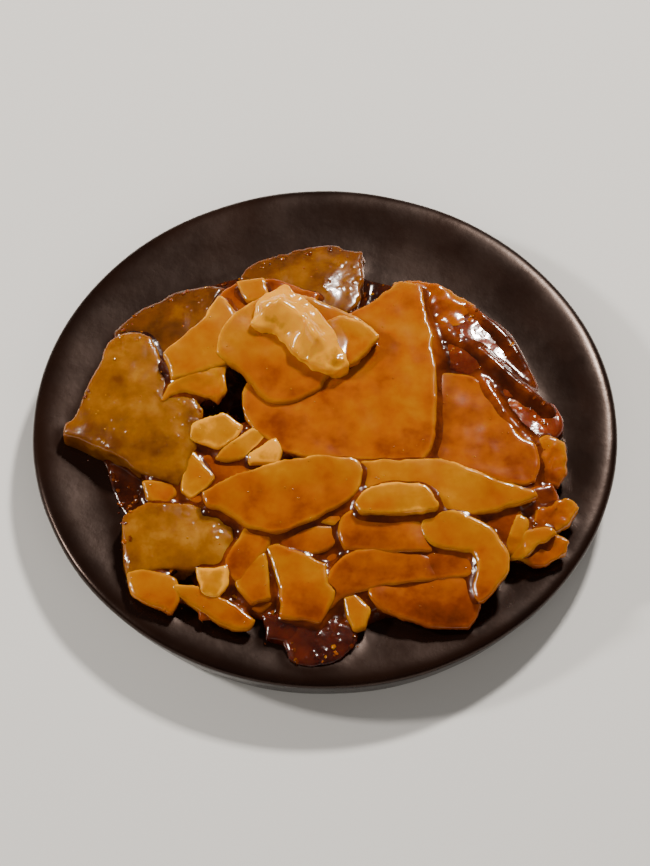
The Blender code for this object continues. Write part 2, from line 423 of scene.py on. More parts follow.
# the roughness varies up and down by its spread
chocolateLook = {"roughness": 0.26, "spread": 0.04, "dark": (0.0075, 0.0028, 0.0017),
                 "light": (0.013, 0.0050, 0.0029), "specular": 0.33, "sheenTint": (1.0, 0.72, 0.62)}


def makeChocolate():
    look = chocolateLook
    material, tree, shader, vector = startMaterial("darkChocolate", look)
    shader.inputs["Specular IOR Level"].default_value = look["specular"]
    shader.inputs["Specular Tint"].default_value = (*look["sheenTint"], 1.0)
    bloom = rangeNode(tree, noiseNode(tree, vector, 90.0, 3.0, 0.6), 0.35, 0.7)
    tree.links.new(mixColour(tree, bloom, look["dark"], look["light"]), shader.inputs["Base Color"])
    sheen = noiseNode(tree, vector, 150.0, 4.0, 0.6)
    smoothest, roughest = look["roughness"] - look["spread"], look["roughness"] + look["spread"]
    tree.links.new(rangeNode(tree, sheen, 0.3, 0.7, smoothest, roughest), shader.inputs["Roughness"])
    addBump(tree, shader, noiseNode(tree, vector, 700.0, 3.0, 0.6), 0.12, 0.15)
    return material


almond = makeAlmond()
peel = makeSugared("candiedPeel", peelLook)
cherry = makeSugared("candiedCherry", cherryLook)
caramel = makeSugared("hardCaramel", caramelLook)
chocolate = makeChocolate()
print("materials made")


# noise fields that the whole topping shares, so that neighbours move together
outlineNoise = cloudTexture("outlineNoise", 2.4 * mm, 1, colour=True)
rippleNoise = cloudTexture("rippleNoise", 4.0 * mm, 1)
lumpNoise = cloudTexture("lumpNoise", 1.2 * mm, 1)
crumpleNoise = cloudTexture("crumpleNoise", 1.7 * mm, 2, colour=True)

# sizes in mm: edge is a flake's outline with the height of its upper face, hump raises its middle or,
# below 0, lowers it, crumple creases it, and tone runs from 0, dark amber, to 1, pale yellow
flakeLook = {
    "fan": {"thick": 0.9, "tone": 0.46, "edge": [
        (7.5, 15.5, 9.5), (9.5, 15, 9.6), (10.5, 8, 10), (11, 1.5, 9.9), (10.5, -3.5, 9.5), (9.5, -5.5, 9.3),
        (1, -5, 9.1), (-3, -4.5, 9.1), (-6.5, -2, 9), (-8, 1, 9.2), (-7.5, 3.5, 9.3), (-5.5, 6, 9.2),
        (-1, 9, 9.3), (5.5, 13.5, 9.5)]},
    "right": {"thick": 0.82, "tone": 0.36, "edge": [
        (8, 2, 8.7), (10, 4.5, 8.9), (12, 5, 8.5), (15.5, 4, 8.6), (18, 1, 8.5), (19.5, -2, 8.3),
        (21, -3, 8.2), (21.5, -5, 8), (21, -7.2, 7.9), (19, -7.5, 8), (14, -6, 8.2),
        (8, -5.5, 8.5), (7, -1.5, 8.6)]},
    "crest": {"thick": 0.82, "tone": 0.57, "edge": [
        (-10.5, 7.5, 10.9), (-10.3, 6, 10.7), (-8, 4.5, 10.2), (-6, 2, 9.7), (-4, 1.5, 9.7), (-1, 3, 9.8),
        (0, 4.5, 10), (3, 6, 10.5), (5, 8, 10.9), (4, 9.5, 10.9), (0.5, 11.5, 11.1), (-3.5, 13, 11.3),
        (-6, 12.5, 11.3), (-9.5, 10, 11.1)]},
    "ridge": {"thick": 1.9, "tone": 1.05, "hump": 2.4, "crumple": 0.9, "edge": [
        (-6.5, 11.5, 12.1), (-5, 12.5, 12.7), (-3.5, 12.5, 12.8), (-2, 11, 12.4), (0, 9, 11.9),
        (1.5, 6, 11.1), (2, 5, 10.9), (1, 4.5, 10.9), (-2, 5.5, 11.1), (-4.5, 8.5, 11.4), (-6.5, 9, 11.6),
        (-7, 10, 11.8)]},
    "pocket": {"thick": 0.74, "tone": 0.58, "hump": -0.5, "edge": [
        (0.5, 9.5, 11.4), (2, 10, 11.3), (4, 9, 11.3), (5.2, 8, 11.3), (3, 5.5, 10.9), (2, 5, 10.8),
        (1, 7, 11.1)]},
    "wing": {"thick": 0.82, "tone": 0.56, "edge": [
        (-11, 13, 10.6), (-10, 12, 10.7), (-8.5, 8.5, 10.7), (-9, 6.5, 10.4), (-12, 5, 10.4),
        (-15.3, 4, 10.3), (-16, 6.5, 10.7), (-14, 8.5, 10.7), (-12.5, 10, 10.8)]},
    "chip_left": {"thick": 0.82, "tone": 0.6, "crumple": 0.6, "edge": [
        (-10.5, 5.5, 10.3), (-10.5, 3, 9.9), (-11, 1.5, 9.6), (-14, 2.5, 9.6), (-16.5, 1.5, 9.3),
        (-15, 3.5, 9.9), (-12.5, 5, 10.3)]},
    "half_left": {"thick": 0.9, "tone": 0.55, "edge": [
        (-12, -9.5, 9.3), (-10, -8.5, 9.8), (-6.5, -7.5, 10.2), (-3, -6.5, 10.4), (1.5, -6, 10.3),
        (3, -6.5, 10.1), (3.3, -7.7, 9.9), (2.5, -10, 9.5), (-1, -12, 9.2), (-4, -13.4, 9), (-7, -13.2, 8.9),
        (-9.5, -11.5, 9), (-11.5, -10.7, 9.1)]},
    "front_right": {"thick": 0.82, "tone": 0.6, "edge": [
        (3.5, -7, 9.2), (4, -6, 9.3), (8, -6, 9.7), (12, -6.2, 9.8), (16.5, -8, 9.6), (20.5, -9, 9.2),
        (21.2, -9.7, 9.1), (18.5, -10.8, 8.9), (15, -11.6, 8.9), (11, -11.2, 9.1), (6, -10.4, 9.2),
        (4, -8.5, 9.2)]},
    "slip_right": {"thick": 0.9, "tone": 0.62, "edge": [
        (3.5, -11.2, 10), (4.5, -9.9, 10.3), (6.3, -9.6, 10.4), (9.5, -9.5, 10.5), (11.2, -11.2, 10.1),
        (10.5, -11.9, 10), (6.5, -12, 10), (4, -12.1, 9.9)]},
    "tongue": {"thick": 0.82, "tone": 0.36, "edge": [
        (1.8, -13.5, 8.7), (2.5, -12, 8.9), (4.5, -11.3, 9.2), (9, -11.3, 9.2), (11.3, -11.6, 8.9),
        (12.5, -13, 7.9), (11.7, -14.7, 7.7), (10, -15.7, 8.4), (5.5, -15.5, 8.3), (2.3, -15.6, 8.3)]},
    "curve": {"thick": 0.82, "tone": 0.52, "edge": [
        (9.9, -13.5, 8.8), (10.5, -12.5, 9.1), (13, -12.2, 9.4), (16.2, -13.8, 9.3), (18, -16, 9),
        (18, -18.5, 8.5), (16.5, -20.3, 7.9), (15.6, -21.2, 7.6), (14.8, -19.5, 7.8), (15.2, -17.5, 8.4),
        (14.5, -16.2, 8.6), (12, -15.7, 8.6), (10.5, -14.8, 8.7)]},
    # the lower sheet in the curl's hollow has a dark tone: painted shade of the hollow
    "curveInside": {"thick": 0.74, "tone": 0.3, "edge": [
        (10, -14.6, 8.2), (14.3, -15.6, 8.1), (15.3, -17, 7.9), (15, -18.2, 7.6), (11, -18.2, 7.5),
        (9.5, -16.8, 7.8)]},
    "arc": {"thick": 0.82, "tone": 0.3, "edge": [
        (-0.3, -23, 6.8), (-0.6, -21.5, 7.2), (0.8, -18.5, 7.9), (2.7, -16.5, 8.2), (5, -16, 8.3),
        (9, -16.2, 8.1), (11.3, -16.5, 7.6), (12, -17.8, 7.3), (10, -19, 7.6), (5.5, -19.2, 7.5),
        (2, -20.6, 7.1), (0.5, -22, 6.9)]},
    "low_right": {"thick": 0.82, "tone": 0.25, "edge": [
        (4.8, -19.7, 7.3), (5.6, -18.2, 7.4), (8, -17.2, 7.5), (11.7, -17.3, 7.5), (14, -18, 7.4),
        (15.2, -20.5, 7), (15, -22.3, 6.7), (14.2, -23.3, 6.5), (10.5, -23.2, 6.6), (6.7, -22, 6.9),
        (5.3, -21, 7.2)]},
    "shard": {"thick": 0.82, "tone": 0.46, "edge": [
        (-5.8, -15.6, 8), (-4, -15.7, 8.2), (0, -17.6, 8.2), (-0.2, -19, 8), (0.6, -20.2, 7.7),
        (-0.5, -23.2, 7), (-4.2, -22.5, 7), (-4.5, -19, 7.5)]},
    "pyramid": {"thick": 1.15, "tone": 0.46, "edge": [
        (-6.2, -16.3, 8), (-5.8, -20.4, 7.2), (-7.3, -20.8, 7.1), (-8.8, -19, 7.4), (-7.7, -17.4, 7.8)]},
    "strand": {"thick": 0.82, "tone": 0.38, "edge": [
        (-7.3, -13.1, 8.5), (-6, -13.8, 8.4), (-6.3, -15.5, 8.1), (-8.7, -18.6, 7.5), (-9.6, -18, 7.5),
        (-9.5, -16.3, 7.8), (-8.2, -14, 8.4)]},
    "under": {"thick": 0.82, "tone": 0.36, "edge": [
        (-6.5, -13.6, 8.1), (-5, -13, 8.3), (-0.5, -13, 8.3), (1.5, -13, 8.1), (2.2, -13.8, 7.8),
        (-1.5, -15.5, 7.8), (-5.6, -15, 7.8)]},
    "midchip": {"thick": 0.82, "tone": 0.5, "crumple": 0.5, "edge": [
        (-0.9, -12.4, 8.5), (-0.6, -11, 8.8), (0.5, -10.5, 9), (2.2, -11.8, 8.5), (1.5, -12.7, 8.3)]},
    "nib": {"thick": 0.74, "tone": 0.52, "edge": [
        (0, -12.8, 7.9), (1.3, -12.5, 7.9), (1.4, -13.7, 7.6), (0.4, -14.3, 7.5)]},
    "paleChip": {"thick": 0.9, "tone": 0.76, "edge": [
        (-13.6, -2.5, 8.9), (-12.9, -1.4, 9.2), (-10.5, -0.3, 9.4), (-8.7, -1.6, 9.1), (-9.4, -2.5, 8.9),
        (-10.8, -3.5, 8.7), (-12.5, -3, 8.8)]},
    "stick": {"thick": 0.82, "tone": 0.64, "edge": [
        (-10.7, -4.7, 8.4), (-9.5, -3.5, 8.7), (-7.5, -2, 9.1), (-6.1, -2.5, 9), (-8.2, -4.3, 8.5),
        (-9.6, -4.9, 8.3)]},
    "paleNib": {"thick": 0.82, "tone": 0.9, "edge": [
        (-5.3, -3.4, 9.3), (-4.6, -4.3, 9.1), (-5.1, -5.5, 8.8), (-7.5, -5.5, 8.7), (-7.5, -4.7, 8.9)]},
    "yellowChip": {"thick": 0.9, "tone": 0.66, "edge": [
        (-14.3, -5.1, 8.2), (-13.3, -4.5, 8.3), (-11.7, -6.7, 7.9), (-12.2, -7.7, 7.8), (-13.5, -8.7, 7.6),
        (-14.4, -8, 7.7)]},
    "lowChip": {"thick": 0.82, "tone": 0.46, "edge": [
        (-18.2, -7.2, 7.4), (-15.6, -7.2, 7.5), (-15.5, -8.4, 7.2), (-16.3, -9.2, 7.1), (-17.7, -8.9, 7.2)]},
    "frontChip": {"thick": 0.82, "tone": 0.56, "edge": [
        (2, -21, 7), (3.1, -20.5, 7), (4.2, -21.8, 6.8), (3.8, -23.4, 6.5), (3, -23.8, 6.4)]},
    "cornerTop": {"thick": 0.82, "tone": 0.78, "crumple": 0.5, "edge": [
        (-12.6, -17.9, 7.8), (-10.1, -17.9, 7.9), (-10.4, -19.5, 7.7), (-11, -20.4, 7.4), (-12.2, -20, 7.4)]},
    "corner": {"thick": 0.82, "tone": 0.44, "edge": [
        (-19.7, -17.9, 6.9), (-18, -17.6, 7.1), (-15.6, -18.7, 7.1), (-15.2, -20.3, 6.9), (-15.7, -21.8, 6.5),
        (-18.8, -20, 6.7)]},
    "sliver": {"thick": 0.82, "tone": 0.48, "edge": [
        (-15.2, -19.6, 7.1), (-12.9, -19.7, 7.3), (-9.5, -21.5, 7), (-7.6, -23, 6.8), (-8.2, -23.7, 6.5),
        (-10.6, -23, 6.5), (-14.5, -20.5, 6.9)]},
    "backBit": {"thick": 0.74, "tone": 0.5, "edge": [
        (-8.7, 15, 10.4), (-6.5, 15.2, 10.5), (-6, 13.5, 10.4), (-7.8, 13, 10.3)]},
    "back": {"thick": 0.82, "tone": 0.16, "edge": [
        (-10, 14.6, 9.6), (-8, 15.4, 9.7), (-5, 15.4, 9.8), (-1, 14, 9.8), (-2, 11, 9.9), (-5.6, 10, 9.9),
        (-9.2, 11.2, 9.8), (-10.8, 13, 9.7)]},
    "curl_right": {"thick": 0.74, "tone": 0.42, "crumple": 0.7, "edge": [
        (19.3, -15.5, 6.7), (22.5, -14, 7.3), (24.2, -14.2, 7.2), (24, -15.2, 6.8), (22, -16, 6.4)]},
    "streak": {"thick": 0.6, "tone": 0.5, "crumple": 0.5, "edge": [
        (20.6, -13.8, 7.9), (22.2, -13.3, 8), (23.2, -13.7, 7.9), (20.5, -15.3, 7.3), (19, -16, 7),
        (19.5, -14.8, 7.4)]},
    "edge_right": {"thick": 0.74, "tone": 0.4, "crumple": 0.7, "edge": [
        (21.4, -12.3, 7.4), (21.8, -10.8, 7.7), (24.5, -9.4, 7.9), (25.5, -10.5, 7.6), (24.2, -11.8, 7.2),
        (22.8, -12.7, 7.1)]},
    "fold": {"thick": 0.6, "tone": 0.5, "crumple": 0.4, "edge": [
        (19.6, -11.9, 8.3), (20.5, -12.3, 8.2), (20, -13.8, 7.8), (19, -15.4, 7.2), (18.4, -15.2, 7.2),
        (19, -13.6, 7.7)]},
    "shelf": {"thick": 0.82, "tone": 0.16, "edge": [
        (14.8, -11.4, 8), (19.2, -10.6, 8.1), (19.8, -12.1, 7.8), (19, -14.1, 7.4), (17.3, -14, 7.6)]},
    "rimFlake": {"thick": 0.82, "tone": 0.42, "crumple": 0.8, "edge": [
        (21.3, -3.2, 7.7), (22.6, -2.2, 7.8), (24, -2.7, 7.7), (24.2, -5, 7.2), (23.8, -6.7, 6.9),
        (22.4, -6.8, 7)]},
    "backSheet": {"thick": 0.98, "tone": 0.28, "crumple": 0.6, "edge": [
        (7.5, 15.9, 9), (10.5, 15.8, 9), (14.3, 13.6, 8.8), (15.5, 12, 8.7), (15, 10.7, 8.6), (8, 11.7, 9)]},
    "bedFront": {"thick": 0.82, "tone": 0.3, "edge": [
        (-6.5, -12.8, 7.2), (-3.5, -11.7, 7.5), (0, -11.5, 7.6), (6.7, -14, 7.4), (10.5, -15.3, 7.2),
        (12.6, -18, 7), (10, -20, 6.7), (1, -20.5, 6.6), (-3, -20, 6.6), (-5.6, -18, 6.8)]},
    "bedMiddle": {"thick": 0.82, "tone": 0.3, "edge": [
        (-10, -10, 7.8), (-1, -9.2, 8.3), (3.5, -8.7, 8.4), (16.7, -11, 7.9), (15.8, -13, 7.6),
        (-3, -12.5, 7.6), (-8, -12, 7.6)]},
    "bedLeft": {"thick": 0.82, "tone": 0.32, "edge": [
        (-10, -15, 7), (-8.3, -13.5, 7.3), (-6.5, -14, 7.2), (-5.2, -20, 6.5), (-6.5, -21.5, 6.3),
        (-8.5, -20.5, 6.4), (-10.5, -17.5, 6.7)]},
    "bedCentre": {"thick": 0.82, "tone": 0.3, "edge": [
        (-14.2, -5.7, 7.6), (-11, -4.3, 7.9), (-4, -4.3, 8.3), (-4.2, -7, 8), (-12, -9.3, 7.4),
        (-14.2, -8.2, 7.4)]},
    "bedRight": {"thick": 0.82, "tone": 0.2, "edge": [
        (12.6, -10, 7.8), (16.7, -9.6, 7.8), (23, -7.6, 7.3), (23, -10, 7), (18.5, -14.7, 6.6),
        (15.8, -15, 6.9), (13.5, -13, 7.3)]},
}

fruitLook = {
    "peel_left": {"thick": 3.2, "tone": 0.5, "hump": 0.3, "edge": [
        (-26.2, 0, 7), (-25, 1, 7.6), (-24, 3.5, 8), (-22, 8.5, 8.4), (-20.2, 9.8, 8.6), (-18.6, 9.2, 8.8),
        (-17, 7, 9), (-15.8, 2.3, 9.2), (-14, 1.8, 9.2), (-12.9, 0, 9), (-14, -5, 8.3), (-15.1, -7.1, 7.8),
        (-18.5, -5.7, 7.8), (-22, -3, 7.8), (-25.9, -1.1, 7)]},
    "peel_back_left": {"thick": 2.6, "tone": 0.22, "hump": 0.2, "edge": [
        (-21.4, 10.8, 7.6), (-19.5, 12.5, 7.8), (-16.5, 14.5, 8), (-12.9, 15.6, 8.3), (-10.8, 15.6, 8.6),
        (-12.5, 11, 8.9), (-15, 8.6, 8.8), (-16, 6.6, 8.6), (-18.5, 9.5, 8.1), (-20.5, 10, 7.8)]},
    "peel_front_left": {"thick": 2.8, "tone": 0.56, "hump": 0.3, "edge": [
        (-20.2, -11.4, 7.3), (-18, -10.2, 7.7), (-15.5, -10.2, 7.8), (-10, -11.3, 7.9), (-9.9, -15.3, 7.5),
        (-10.8, -17.1, 7.1), (-17.5, -17, 7), (-19.7, -17.5, 6.7), (-20.1, -15, 7)]},
    "peel_back": {"thick": 2.4, "tone": 0.34, "hump": 0.2, "edge": [
        (-8.4, 17.3, 7.6), (-6.5, 19.4, 7.4), (-1, 20.8, 7.6), (3, 20.3, 7.8), (3.6, 19.5, 8), (3, 14.5, 8.5),
        (2, 12.7, 8.6), (-2, 14.4, 8.8), (-4, 15.7, 8.6)]},
    "cherry_right": {"thick": 2.8, "tone": 0.5, "hump": 0.5, "edge": [
        (10.3, 11, 8.6), (12.6, 11.4, 8.7), (15, 12.3, 8.7), (18.3, 9.7, 8.4), (21, 5, 7.9), (21.8, 3, 7.8),
        (20, 2.7, 8), (16.7, 3.5, 8.3), (14.5, 5.3, 8.4), (11, 6.7, 8.4)]},
    "cherry_edge": {"thick": 1.6, "tone": 0.66, "hump": -0.4, "edge": [
        (18, 3.6, 8.2), (21, 3, 8), (23.3, 1.6, 7.6), (23.8, -0.5, 7.2), (22.2, -1.7, 7.2), (20.2, -1.8, 7.6),
        (18.8, 0.2, 8)]},
    "cherry_front": {"thick": 1.5, "tone": 0.12, "edge": [
        (-3.8, -24.7, 6.1), (-2, -23.6, 6.3), (0.8, -23, 6.3), (3, -24, 6.1), (2, -26, 5.8), (-1, -27.5, 5.6),
        (-3.2, -26.8, 5.7)]},
    "cherryBit": {"thick": 1.4, "tone": 0.1, "edge": [
        (-6, -22.7, 6.4), (-3.8, -22.5, 6.6), (-2.8, -24, 6.2), (-3.6, -25, 6), (-5.4, -24.6, 5.9)]},
}

# how every slab is made, in mm: spread widens its outline, corner is the turn in degrees that stays sharp,
# waves is how much of the outline's wandering lifts the face, and a painted shade darkens each flake's low
# side and lightens its high side
slabLook = {"spread": 0.46, "corner": 50, "steps": 5, "give": 0.4, "voxel": 0.22, "swell": 0.05,
            "humpReach": 2.2, "edgeHighlightWidth": 0.3, "lowSideShade": 0.44, "evenRise": 0.55,
            "outline": 0.55, "waves": 0.2, "ripple": 0.3, "lumps": 0.015}
fruitSlab = {"voxel": 0.34, "outline": 0.7, "lumps": 0.16}


def roundedOutline(edge):
    # a smooth line through the points, still sharp where the outline turns a corner
    points = [Vector(p) * mm for p in edge]
    middle = sum(points, Vector()) / len(points)
    for point in points:
        point.xy += (point - middle).xy.normalized() * slabLook["spread"] * mm
    count = len(points)
    slopes = []
    for i, point in enumerate(points):
        before, after = point - points[i - 1], points[(i + 1) % count] - point
        corner = before.xy.angle(after.xy, 0.0) > math.radians(slabLook["corner"])
        slopes.append(None if corner else (before + after) / 2)
    line = []
    for i, point in enumerate(points):
        end = points[(i + 1) % count]
        chord = end - point
        m0, m1 = slopes[i] or chord, slopes[(i + 1) % count] or chord
        for step in range(slabLook["steps"]):
            t = step / slabLook["steps"]
            line.append((2 * t ** 3 - 3 * t ** 2 + 1) * point + (t ** 3 - 2 * t ** 2 + t) * m0
                        + (3 * t ** 2 - 2 * t ** 3) * end + (t ** 3 - t ** 2) * m1)
    return line


def spannedHeight(line):
    # a thin springy sheet held by the outline: gives its height at any place
    held = np.array([tuple(p) for p in line[::slabLook["steps"]]])
    places, heights = held[:, :2] / mm, held[:, 2] / mm

    def bend(a, b):
        r = np.linalg.norm(a[:, None, :] - b[None, :, :], axis=2) + 1e-6
        return r ** 2 * np.log(r)

    n = len(places)
    flat = np.hstack([np.ones((n, 1)), places])
    system = np.zeros((n + 3, n + 3))
    system[:n, :n] = bend(places, places) + slabLook["give"] * np.eye(n)
    system[:n, n:] = flat
    system[n:, :n] = flat.T
    solved = np.linalg.solve(system, np.concatenate([heights, np.zeros(3)]))

    def height(xy):
        xy = xy / mm
        return (bend(xy, places) @ solved[:n] + np.hstack([np.ones((len(xy), 1)), xy]) @ solved[n:]) * mm

    return height


def distanceTo(line, xy):
    # how far places lie from the outline, seen from above
    parts = 4
    marks = []
    for i, point in enumerate(line):
        step = (line[(i + 1) % len(line)] - point) / parts
        marks += [(*(point + step * part).xy, 0) for part in range(parts)]
    return distances([(x, y, 0) for x, y in xy], marks)


def makeSlab(name, look, voxel):
    # a flat plate of the outline, cut on one plane and then laid over its heights
    line = roundedOutline(look["edge"])
    dropSelection()
    bpy.ops.mesh.primitive_circle_add(vertices=len(line), radius=1 * mm, fill_type="NGON")
    slab = bpy.context.object
    slab.name = name
    setCoords(slab, [(p.x, p.y, 0) for p in line])
    inEditMode(slab, lambda: raiseWhole(look["thick"] * mm))
    remesh(slab, voxel * mm)
    smooth(slab, 2)
    swell(slab, slabLook["swell"] * mm)
    co = coordsOf(slab)
    near = distanceTo(line, co[:, :2])
    co[:, 2] += spannedHeight(line)(co[:, :2]) - look["thick"] * mm
    co[:, 2] += look.get("hump", 0.0) * mm * (1 - fading(near, slabLook["humpReach"]))
    setCoords(slab, co)
    # mask of the paler edges, which are partly painted highlight
    setAttribute(slab, "rim", fading(near, slabLook["edgeHighlightWidth"]))
    # painted shade: the low side of each flake is darker and the high side lighter, standing in for the light
    # from behind
    rise = (co[:, 2] - co[:, 2].min()) / np.ptp(co[:, 2])
    setAttribute(slab, "tone", look["tone"] + slabLook["lowSideShade"] * (rise - slabLook["evenRise"]))
    return slab


# in mm: floor is inside the bed, drawnIn keeps a foot within its slab
footLook = {"floor": 4.0, "drawnIn": 0.7, "leastShare": 0.3, "thickest": 1.4, "sinkShare": 0.6,
            "creaseShare": 0.5}


def makeFoot(look):
    # the caramel that carries a flake: its own outline drawn in a little, down to the chocolate
    line = roundedOutline(look["edge"])
    middle = sum(line, Vector()) / len(line)
    height = spannedHeight(line)
    dropSelection()
    bpy.ops.mesh.primitive_circle_add(vertices=len(line), radius=1 * mm, fill_type="NGON")
    foot = bpy.context.object
    drawnIn = footLook["drawnIn"] * mm
    inset = []
    for p in line:
        arm = (p - middle).xy
        share = 1 - drawnIn / max(arm.length, drawnIn)
        inset.append(middle.xy + arm * max(footLook["leastShare"], share))
    setCoords(foot, [(p.x, p.y, footLook["floor"] * mm) for p in inset])
    inEditMode(foot, lambda: raiseWhole(1 * mm))
    co = coordsOf(foot)
    upper = co[:, 2] > (footLook["floor"] + 0.5) * mm
    drop = (min(look["thick"], footLook["thickest"]) * footLook["sinkShare"] - min(0, look.get("hump", 0.0))
            + footLook["creaseShare"] * look.get("crumple", 0.0))
    co[upper, 2] = height(co[upper, :2]) - drop * mm
    setCoords(foot, co)
    return foot


def dressSlab(slab, look, lumps, outline):
    if "crumple" in look:
        displace(slab, crumpleNoise, look["crumple"] * mm, "RGB_TO_XYZ")
    flat = coordsOf(slab)[:, 2]
    displace(slab, outlineNoise, outline * mm, "RGB_TO_XYZ")
    # the outline wanders, the face stays nearly flat
    co = coordsOf(slab)
    co[:, 2] = flat + slabLook["waves"] * (co[:, 2] - flat)
    setCoords(slab, co)
    displace(slab, rippleNoise, slabLook["ripple"] * mm, "Z")
    displace(slab, lumpNoise, lumps * mm)


flakes, feet = {}, []
for name, look in flakeLook.items():
    slab = makeSlab(name.replace("_", "") + "Flake", look, slabLook["voxel"])
    dressSlab(slab, look, slabLook["lumps"], slabLook["outline"])
    feet.append(makeFoot(look))
    stands = ["almond_" + name] if "almond_" + name in nodes else []
    flakes[name] = finishPiece(slab, almond, "almond", *stands)
print("flakes dressed,", sum(len(f.data.polygons) for f in flakes.values()), "faces")

fruit = {}
for name, look in fruitLook.items():
    slab = makeSlab(name.replace("_", "") + "Piece", look, fruitSlab["voxel"])
    dressSlab(slab, look, fruitSlab["lumps"], fruitSlab["outline"])
    feet.append(makeFoot(look))
    kind = "peel" if name.startswith("peel") else "cherry"
    stands = [name] if name in nodes else []
    fruit[name] = finishPiece(slab, {"peel": peel, "cherry": cherry}[kind], kind, *stands)
print("fruit dressed,", sum(len(f.data.polygons) for f in fruit.values()), "faces")


# caramel: everything above is wrapped, and the wrapping sinks back until it fills only the gaps, in mm;
# away from the flakes it is dark, partly thick caramel and partly painted shade in the gaps between pieces,
# and lighter beside flakes and pulled strands
caramelBody = {"voxel": 0.32, "swell": 0.36, "sink": -0.48, "coreShrink": 0.95, "coreFoot": 0.5,
               "coreTop": 5.6, "coreUneven": 0.3, "gapShadeTone": 0.18, "flakeTone": 0.36, "flakeReach": 0.6,
               "strandTone": 0.3, "strandReach": 0.9}

# pulled strands of caramel over the cherry, and two short runs at the front: places and radius in mm
strandPaths = [
    ([(14.3, 13.8, 8.7), (18, 10, 8.8), (21, 5.3, 8.1), (21.8, 3.7, 7.6)], 0.55),
    ([(13.5, 9.5, 8.6), (16.2, 7.3, 9.1), (20, 3.6, 8.7), (23.6, 1.2, 7.6)], 0.6),
    ([(15.3, 5.6, 8.4), (17, 3, 8.7), (18.7, 0.2, 8.5), (21.6, -2.9, 7.7)], 0.45),
    ([(10.4, 11, 9.1), (11.2, 8.6, 9.2), (12, 6, 8.9)], 0.45),
    ([(12, 11.2, 8.8), (13, 9.3, 9.1), (14.3, 8, 8.9)], 0.4),
    ([(17.2, 11.8, 8.3), (19, 10, 8.3), (20.8, 6.5, 7.8)], 0.4),
    ([(18, -18.4, 6.9), (15.3, -20.7, 6.5)], 0.4),
    ([(-13, -22.2, 6.2), (-12, -23.8, 5.8)], 0.4),
]


def makeStrand(path, radius):
    curve = bpy.data.curves.new("strand", "CURVE")
    curve.dimensions = "3D"
    curve.bevel_depth = radius * mm
    curve.bevel_resolution = 2
    curve.use_fill_caps = True
    line = curve.splines.new("BEZIER")
    line.bezier_points.add(len(path) - 1)
    for point, place in zip(line.bezier_points, path):
        point.co = Vector(place) * mm
        point.handle_left_type = point.handle_right_type = "AUTO"
    strand = bpy.data.objects.new("strand", curve)
    bpy.context.scene.collection.objects.link(strand)
    pickOnly(strand)
    bpy.ops.object.convert(target="MESH")
    return strand


def makeCaramel():
    look = caramelBody
    core = copyNode("caramel_bed", "caramelGlaze")
    co = coordsOf(core)
    low, high = (Vector(corner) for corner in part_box("caramel_bed"))
    middle = np.array([(low.x + high.x) / 2, (low.y + high.y) / 2])
    co[:, :2] = middle + (co[:, :2] - middle) * look["coreShrink"]
    upper = co[:, 2] > low.z + look["coreFoot"] * mm
    co[upper, 2] = np.clip(co[upper, 2], (look["coreTop"] - look["coreUneven"]) * mm, look["coreTop"] * mm)
    setCoords(core, co)
    wrapped = [core, *feet]
    # the uppermost flakes lie on the others with their edges free
    held = [flakes[name] for name in flakes if name not in ("ridge", "pocket", "crest")]
    for piece in held + [*fruit.values()]:
        twin = bpy.data.objects.new("twin", piece.data.copy())
        bpy.context.scene.collection.objects.link(twin)
        wrapped.append(twin)
    wrapped += [makeStrand(path, radius) for path, radius in strandPaths]
    pickOnly(*wrapped)
    bpy.ops.object.join()
    for move in (look["swell"], look["sink"]):
        remesh(core, look["voxel"] * mm)
        swell(core, move * mm)
        smooth(core, 2)
    remesh(core, look["voxel"] * mm)
    smooth(core, 3)
    surface = coordsOf(core)
    fromFlakes = distances(surface, np.vstack([coordsOf(o) for o in flakes.values()]))
    pulled = [Vector(a).lerp(Vector(b), part / 4) * mm
              for path, _ in strandPaths for a, b in zip(path, path[1:]) for part in range(4)]
    fromStrands = distances(surface, pulled)
    # painted shade: the caramel away from the flakes, in the gaps between pieces, is darkened, partly as
    # thick caramel
    tone = look["gapShadeTone"] + look["flakeTone"] * fading(fromFlakes, look["flakeReach"])
    setAttribute(core, "tone", tone + look["strandTone"] * fading(fromStrands, look["strandReach"]))
    return finishPiece(core, caramel, "caramel", "caramel_bed")


glaze = makeCaramel()
print("caramel wrapped,", len(glaze.data.polygons), "faces")


# chocolate disc: a rounded bead round a shallow top that runs in under the topping
disc = {
    "segments": 180, "foot": 27.4,
    # the ring's next radius and height, up the outside and in over the rim
    "steps": [(27.9, 0.08), (28.25, 0.45), (29.2, 2.7), (29.76, 3.95), (29.95, 4.45), (29.97, 4.72),
              (29.84, 4.98), (29.5, 5.18), (28.9, 5.28), (28.0, 5.27), (27.0, 5.18), (25.8, 5.06),
              (24.6, 4.96), (23.2, 4.9),
              (21.0, 4.87), (16.0, 4.85), (8.0, 4.85)],
    "levels": 2, "uneven": 0.16, "pourSize": 9, "meniscus": 0.1, "climbFrom": 4.4, "climbReach": 0.7,
}


